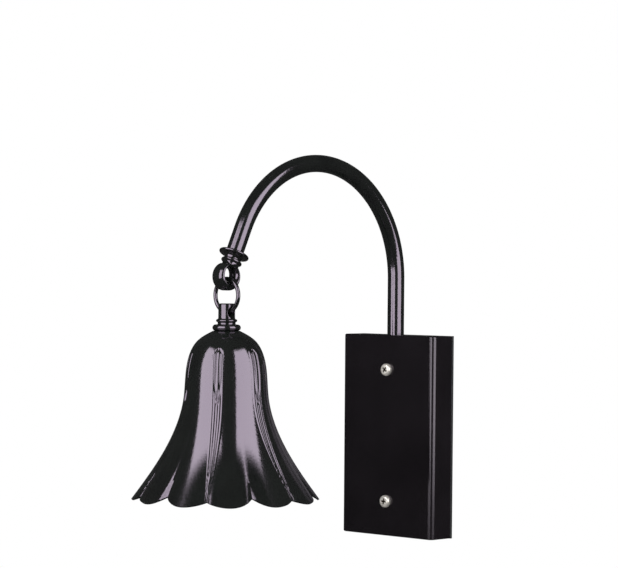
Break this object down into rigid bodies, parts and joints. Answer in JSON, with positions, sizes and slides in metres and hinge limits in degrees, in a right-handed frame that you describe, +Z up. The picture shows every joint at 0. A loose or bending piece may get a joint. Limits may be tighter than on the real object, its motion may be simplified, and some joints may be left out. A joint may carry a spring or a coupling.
{
  "type": "bell flower wall light",
  "caption": "Outdoor wall light: a gooseneck tube on a shallow wall box, with an open bell-flower shade hanging from its hook by a ring.",
  "frame": {"origin": "centre of the back plate's rear face, which lies against the wall", "axes": "+Z up, +Y into the wall (the light stands out towards -Y), +X to the right of a person facing the wall"},
  "size_m": [0.1004, 0.193, 0.2143],
  "materials": {
    "gloss_black_paint": "gloss",
    "satin_black_paint": "satin",
    "nickel": "bright nickel plate",
    "zinc_steel": "zinc plated, dull",
    "black_rubber": "matt",
    "white_plastic": "matt",
    "white_ceramic": "glazed",
    "brass": "plain",
    "clear_glass": "clear",
    "filament": "dull"
  },
  "bodies": {
    "bracket": {"back_plate": "zinc_steel", "wire_grommet": "black_rubber", "cover_posts": "zinc_steel", "arm_saddle": "zinc_steel", "arm_strap": "zinc_steel", "strap_screws": "nickel", "terminal_block": "white_plastic", "terminal_screws": "brass", "arm_tube": "gloss_black_paint", "arm_seal": "black_rubber", "cover": "satin_black_paint", "cover_screws": "nickel", "arm_bush": "brass", "hook": "gloss_black_paint"},
    "link": {"link_ring": "gloss_black_paint"},
    "shade": {"shade_stem": "gloss_black_paint", "shade": "gloss_black_paint", "shade_washer": "zinc_steel", "shade_nut": "zinc_steel", "socket_cup": "zinc_steel", "jam_nut": "zinc_steel", "lamp_socket": "white_ceramic", "socket_rivets": "zinc_steel", "socket_contacts": "brass", "bulb_glass": "clear_glass", "bulb_wedge": "clear_glass", "bulb_filament": "filament"}
  },
  "joints": [
    {"name": "link_swing", "type": "hinge", "parent": "bracket", "child": "link", "pos_m": [0, -0.14319, 0.08894], "axis": [1, 0, 0], "range_deg": [-45, 45]},
    {"name": "shade_sway", "type": "hinge", "parent": "link", "child": "shade", "pos_m": [0, -0.14319, 0.08014], "axis": [0, 1, 0], "range_deg": [-25, 25]}
  ]
}
